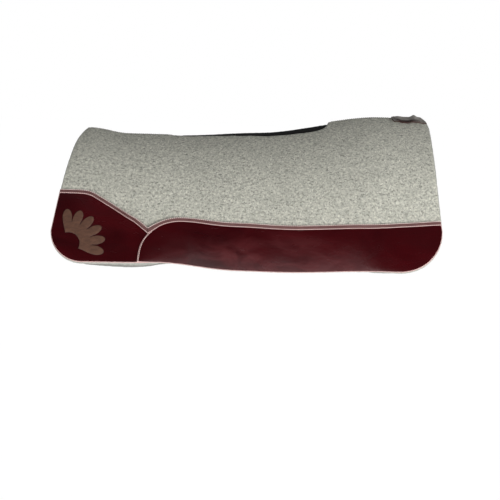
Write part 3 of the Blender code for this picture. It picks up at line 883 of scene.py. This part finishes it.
def patch_top(x, t):
    """The wither patch: drawn up over the spine, with its edges curled and puckered."""
    edge = smooth((np.abs(t) - 0.008) / 0.022)
    waves = 0.55 + 0.28 * np.sin(x / 0.0062 + 1.7 * np.sign(t)) + 0.12 * np.sin(x / 0.0025)
    ends = smooth((x - PATCH_REAR_X + 0.004) / 0.02) * smooth((0.404 - x) / 0.02)
    curl = PATCH_CURL * edge * waves * ends
    middle, along, across, height = PATCH_BUMP
    bump = height * np.exp(-(((x - middle) / along) ** 2) - (t / across) ** 2)
    middle, along, height = PATCH_FOLD
    fold = height * np.exp(-(((x - middle - 0.2 * t) / along) ** 2))
    return LEATHER_TOP + curl + bump + fold


def build_felts(looks, side, name):
    outline = felt_outline("top")
    size, area = flat_size(outline)
    top = panel(
        "felt_top_" + name, mirrored(outline, side), 5 * MM, FELT_RIM, felt_top,
        lambda x, t, d: np.full_like(x, -TOP_FELT + 0.1 * MM),
        [looks["felt"], looks["felt_edge"]], levels=5, fray=FELT_FRAY,
    )
    under_name = "felt_bottom_" + name
    declare(top, "felt_grey", "top_felt_" + name, flat=size, held="draped", area=area,
            rests_on=[under_name])
    outline = felt_outline("bottom")
    size, area = flat_size(outline)
    bottom = panel(
        under_name, mirrored(outline, side), 7 * MM, FELT_RIM,
        lambda x, t, d: np.full_like(x, -TOP_FELT - GAP),
        lambda x, t, d: -TOP_FELT - GAP - BOTTOM_FELT + 0.3 * MM * ripple(x, t, 25 * MM, 8),
        [looks["felt_pale"], looks["felt_pale_edge"]], levels=4, fray=FELT_FRAY,
    )
    declare(bottom, "felt_pale", "bottom_felt_" + name, flat=size, held="draped", area=area)


def build_leathers(looks, side, name):
    materials = [looks["oxblood"], looks["raw_edge"]]
    for part, outline, lifted in (("corner", corner_outline(), False), ("wear", wear_outline(), True)):
        size, area = flat_size(outline)

        def top(x, t, d, lifted=lifted):
            return leather_top(x, t, d, lifted)

        def under(x, t, d, lifted=lifted):
            return leather_top(x, t, d, lifted) - LEATHER

        piece = panel(f"{part}_skirt_{name}", mirrored(outline, side), 4 * MM, LEATHER_RIM, top, under,
                      materials)
        declare(piece, "leather_oxblood", f"{part}_leather_{name}", flat=size, held="laid", area=area,
                rests_on=["felt_top_" + name])


def trim_section():
    """Half a crowned strip with a groove for each stitch row, mirrored into a closed outline."""
    half = TRIM_WIDTH / 2
    top = [(half, 0.30), (half - 0.25 * MM, 0.75), (half - 0.55 * MM, 0.90), (THREAD_INSET, 0.66),
           (THREAD_INSET - 0.7 * MM, 0.95), (0.9 * MM, 1.10)]
    over = [(s, h * TRIM) for s, h in top] + [(-s, h * TRIM) for s, h in reversed(top)]
    return [(half, 0.0)] + over + [(-half, 0.0)]


def trim_base(part):
    """Height of a trim strip's underside along the pad."""
    rises = {"corner": meeting_rise, "wear": lap_lift}[part]
    return lambda x: LEATHER_TOP + 0.1 * MM + rises(x)


def build_trims(looks, side, name):
    section = trim_section()
    for part in ("corner", "wear"):
        base = trim_base(part)
        length = np.ptp(trim_line(part, 0.0)[:, 0])
        count = round(length / (2.5 * MM))
        lines = [to_pattern(spaced(trim_line(part, aside), count), side) for aside, _ in section]
        heights = [height for _, height in section]
        piece = strip(f"{part}_strip_{name}", lines, heights, base, [looks["mauve"], looks["raw_edge"]])
        declare(piece, "trim_mauve", f"{part}_trim_{name}")
        for row, aside, girth in (("upper", -THREAD_INSET, 1.5), ("lower", THREAD_INSET, 1.2)):
            route = to_pattern(resampled(trim_line(part, aside), 2.5 * MM), side)
            starts, ends = running_stitch(route)
            thread = stitches(f"{part}_stitches_{row}_{name}", starts, ends,
                              lambda x, t, base=base: base(x) + 0.72 * TRIM, girth * THREAD,
                              looks["thread_" + row])
            declare(thread, "thread_pink", f"{part}_thread_{row}_{name}")


def build_lap_seam(looks, side, name):
    route = to_pattern(resampled(lap_seam_path(), 2.5 * MM), side)
    starts, ends = running_stitch(route)
    thread = stitches("lap_stitches_" + name, starts, ends,
                      lambda x, t: LEATHER_TOP + lap_lift(x) - 0.3 * MM, 1.3 * THREAD,
                      looks["thread_lower"])
    declare(thread, "thread_pink", "lap_thread_" + name)


def build_rosette(looks, side, name):
    outline = to_pattern(rosette_outline())
    size, area = flat_size(outline)

    def top(x, t, d):
        return LEATHER_TOP + 0.1 * MM + TRIM + 0.5 * MM * smooth(d / (5 * MM))

    piece = panel("rosette_" + name, mirrored(outline, side), 2.5 * MM, ROSETTE_RIM, top,
                  lambda x, t, d: np.full_like(x, LEATHER_TOP + 0.1 * MM),
                  [looks["tan"], looks["tan_edge"]])
    declare(piece, "leather_tan", "corner_rosette_" + name, flat=size, held="laid", area=area,
            rests_on=["corner_skirt_" + name])


def build_inlay(looks):
    def top(x, t, d):
        tucked = 0.8 * MM * smooth(1 - d / (5 * MM))
        return 0.25 * MM * ripple(x, t, 9 * MM, 17) - INLAY_DEPTH - rise(x, *INLAY_SINK) - tucked

    outline = inlay_outline()
    size, area = flat_size(outline)
    inlay = panel("slot_inlay", outline, 4 * MM, INLAY_RIM, top,
                  lambda x, t, d: np.full_like(x, -TOP_FELT + 0.1 * MM), [looks["black"]])
    declare(inlay, "inlay_black", "spine_inlay", flat=size, held="laid", area=area,
            rests_on=["felt_bottom_left"])


def build_patch(looks):
    outline = patch_outline()
    size, area = flat_size(outline)
    patch = panel("wither_cover", outline, 2.5 * MM, PATCH_RIM, lambda x, t, d: patch_top(x, t),
                  lambda x, t, d: patch_top(x, t) - LEATHER, [looks["brown"], looks["brown_edge"]])
    declare(patch, "leather_brown", "wither_patch", flat=size, held="folded", area=area,
            rests_on=["felt_top_left"])
    starts, ends = running_stitch(patch_seam_path())
    thread = stitches("wither_stitches", starts, ends, lambda x, t: patch_top(x, t) - 0.3 * MM, THREAD,
                      looks["thread_brown"])
    declare(thread, "thread_grey", "wither_patch_thread")


def build_spine_seams(looks):
    """Cross stitches that close the two top felts behind and in front of the slot."""
    rear = (rear_x(0) + 0.006, SLOT_REAR_X - 0.006)
    front = (SLOT_FRONT_X + 0.006, PATCH_REAR_X - 0.006)
    for place, (start, end) in (("rear", rear), ("front", front)):
        turns = np.arange(start, end, 0.0045)
        sides = np.where(np.arange(len(turns)) % 2, 4 * MM, -4 * MM)
        points = np.column_stack([turns, sides])
        seam = stitches("spine_stitches_" + place, points[:-1], points[1:],
                        lambda x, t: -0.7 * MM * np.exp(-((t / 0.003) ** 2)), 1.1 * THREAD,
                        looks["thread_grey"])
        declare(seam, "thread_grey", "spine_seam_" + place)


def make_looks():
    grey, grey_dark, fleck = (0.64, 0.635, 0.545), (0.305, 0.305, 0.265), (0.10, 0.10, 0.09)
    # the third colour is the rubbed area's: partly wear, partly a painted highlight
    oxblood = leather_material("oxblood_leather", (0.026, 0.0008, 0.0018), (0.047, 0.0010, 0.0026),
                               (0.078, 0.012, 0.014), 0.20, 0.30, Specular_IOR_Level=0.36)
    return {
        "felt": felt_material("heather_felt", grey, grey_dark, fleck, (0.78, 0.77, 0.675)),
        # the cut edges and the bottom felt are darker than the top felt's face: painted shade, where the
        # felt turns away and curves under
        "felt_edge": felt_edge_material("heather_edge", (0.46, 0.46, 0.41), (0.29, 0.29, 0.26)),
        "felt_pale": felt_material("pale_felt", (0.42, 0.425, 0.395), (0.30, 0.305, 0.28),
                                   (0.19, 0.19, 0.175), (0.50, 0.50, 0.46), 0.6),
        "felt_pale_edge": felt_edge_material("pale_edge", (0.24, 0.24, 0.22), (0.17, 0.17, 0.155)),
        "oxblood": oxblood,
        # the wither patch: a grey-brown that is a painted sheen, and a dark red that is painted shade for
        # its curled sides
        "brown": puckered_material("wither_leather", (0.27, 0.255, 0.24), (0.44, 0.41, 0.375),
                                   (0.022, 0.006, 0.006)),
        "brown_edge": raw_edge_material("wither_edge", (0.075, 0.036, 0.028), (0.035, 0.014, 0.011)),
        "raw_edge": raw_edge_material("raw_leather_edge", (0.66, 0.44, 0.42), (0.44, 0.26, 0.25)),
        "mauve": matte_leather_material("mauve_trim", (0.175, 0.085, 0.081), (0.110, 0.047, 0.045), 0.2),
        "tan": matte_leather_material("tan_suede", (0.130, 0.061, 0.038), (0.078, 0.036, 0.023), 0.35),
        "tan_edge": raw_edge_material("tan_edge", (0.070, 0.032, 0.024), (0.030, 0.012, 0.010)),
        "thread_upper": thread_material("dusty_pink_thread", (0.96, 0.82, 0.77), (0.74, 0.56, 0.52)),
        "thread_lower": thread_material("pink_thread", (0.98, 0.76, 0.72), (0.76, 0.52, 0.48)),
        "thread_brown": thread_material("brown_thread", (0.090, 0.050, 0.042), (0.045, 0.022, 0.018)),
        "thread_grey": thread_material("grey_thread", (0.42, 0.42, 0.37), (0.30, 0.30, 0.26)),
        "black": inlay_material("black_inlay"),
    }


# ---------------------------------------------------------------- light and camera


FLOOR_SIZE = 40.0
FLOOR_GLOW = 1.0
LIGHTS = {
    "key_front": ((1.80, -1.75, 0.10), 40.0),
    "key_rear": ((-1.50, -2.10, 0.10), 13.0),
    "fill_left": ((0.20, 2.60, 0.35), 30.0),
}
LIGHT_SIZE = (1.0, 0.6)
# Brightness of the studio by height of direction, in degrees: pale floor and lower walls, dark upper walls,
# a skylight
STUDIO_GLOW = ((4.5, 1.15), (9.5, 0.03), (50, 0.03), (68, 0.34))


def build_floor():
    """A pale floor that shows only to the camera; the studio's glow stands in for its light."""
    size, low = FLOOR_SIZE, -2 * GAP
    mesh = bpy.data.meshes.new("floor")
    verts = [(-size, -size, low), (size, -size, low), (size, size, low), (-size, size, low)]
    mesh.from_pydata(verts, [], [(0, 1, 2, 3)])
    floor = bpy.data.objects.new("floor", mesh)
    bpy.context.scene.collection.objects.link(floor)
    material = bpy.data.materials.new("studio_white")
    material.use_nodes = True
    shader = material.node_tree.nodes["Principled BSDF"]
    shader.inputs["Base Color"].default_value = (0.02, 0.02, 0.02, 1)
    shader.inputs["Roughness"].default_value = 1.0
    shader.inputs["Specular IOR Level"].default_value = 0.0
    shader.inputs["Emission Color"].default_value = (1, 1, 1, 1)
    shader.inputs["Emission Strength"].default_value = FLOOR_GLOW
    mesh.materials.append(material)
    floor.visible_diffuse = False
    floor.visible_glossy = False
    floor.visible_shadow = False


def build_lights():
    for name, (place, power) in LIGHTS.items():
        light = bpy.data.lights.new(name, "AREA")
        light.shape = "RECTANGLE"
        light.size, light.size_y = LIGHT_SIZE
        light.energy = power
        lamp = bpy.data.objects.new(name, light)
        lamp.location = place
        lamp.rotation_mode = "QUATERNION"
        lamp.rotation_quaternion = (Vector((0, 0, 0.15)) - lamp.location).to_track_quat("-Z", "Y")
        bpy.context.scene.collection.objects.link(lamp)


def build_world():
    """White to the camera, and the studio's glow to everything else."""
    world = bpy.data.worlds.new("studio")
    world.use_nodes = True
    tree = world.node_tree
    tree.nodes.clear()
    new, link = tree.nodes.new, tree.links.new
    direction, split = new("ShaderNodeTexCoord"), new("ShaderNodeSeparateXYZ")
    link(direction.outputs["Generated"], split.inputs[0])
    ramp = new("ShaderNodeValToRGB")
    stops = ramp.color_ramp.elements
    for i, (degrees, glow) in enumerate(STUDIO_GLOW):
        place = math.sin(math.radians(degrees))
        stop = stops[i] if i < 2 else stops.new(place)
        stop.position = place
        stop.color = (glow, glow, glow, 1)
    link(split.outputs["Z"], ramp.inputs[0])
    path = new("ShaderNodeLightPath")
    white, glow = new("ShaderNodeBackground"), new("ShaderNodeBackground")
    link(ramp.outputs["Color"], glow.inputs["Color"])
    white.inputs["Color"].default_value = (1, 1, 1, 1)
    mix, output = new("ShaderNodeMixShader"), new("ShaderNodeOutputWorld")
    link(path.outputs["Is Camera Ray"], mix.inputs[0])
    link(glow.outputs[0], mix.inputs[1])
    link(white.outputs[0], mix.inputs[2])
    link(mix.outputs[0], output.inputs["Surface"])
    bpy.context.scene.world = world


# The camera looks level across the pad from its right side, a little above it
CAMERA_DISTANCE = 2.4
CAMERA_RISE = math.radians(4.0)
CAMERA_PITCH = math.radians(7.16)
CAMERA_ROLL = math.radians(1.7)
CAMERA_SIDE = 0.0105
CAMERA_BASE = 0.1545
FOCAL_PIXELS = 1047.0
IMAGE_PIXELS = 500.0


def build_camera():
    data = bpy.data.cameras.new("camera")
    data.sensor_width = 36.0
    data.lens = data.sensor_width * FOCAL_PIXELS / IMAGE_PIXELS
    data.clip_end = 100.0
    camera = bpy.data.objects.new("camera", data)
    ahead = Vector((0, math.cos(CAMERA_PITCH), -math.sin(CAMERA_PITCH)))
    level = Vector((1, 0, 0))
    above = level.cross(ahead)
    right = level * math.cos(CAMERA_ROLL) + above * math.sin(CAMERA_ROLL)
    up = above * math.cos(CAMERA_ROLL) - level * math.sin(CAMERA_ROLL)
    place = Vector((CAMERA_SIDE, -CAMERA_DISTANCE * math.cos(CAMERA_RISE),
                    CAMERA_BASE + CAMERA_DISTANCE * math.sin(CAMERA_RISE)))
    camera.matrix_world = Matrix.Translation(place) @ Matrix((right, up, -ahead)).transposed().to_4x4()
    bpy.context.scene.collection.objects.link(camera)
    bpy.context.scene.camera = camera


def main():
    looks = make_looks()
    for side, name in SIDES:
        build_felts(looks, side, name)
        build_leathers(looks, side, name)
        build_trims(looks, side, name)
        build_lap_seam(looks, side, name)
        build_rosette(looks, side, name)
    build_inlay(looks)
    build_patch(looks)
    build_spine_seams(looks)
    build_floor()
    build_lights()
    build_world()
    build_camera()
    bpy.context.scene.view_settings.view_transform = "Standard"


main()
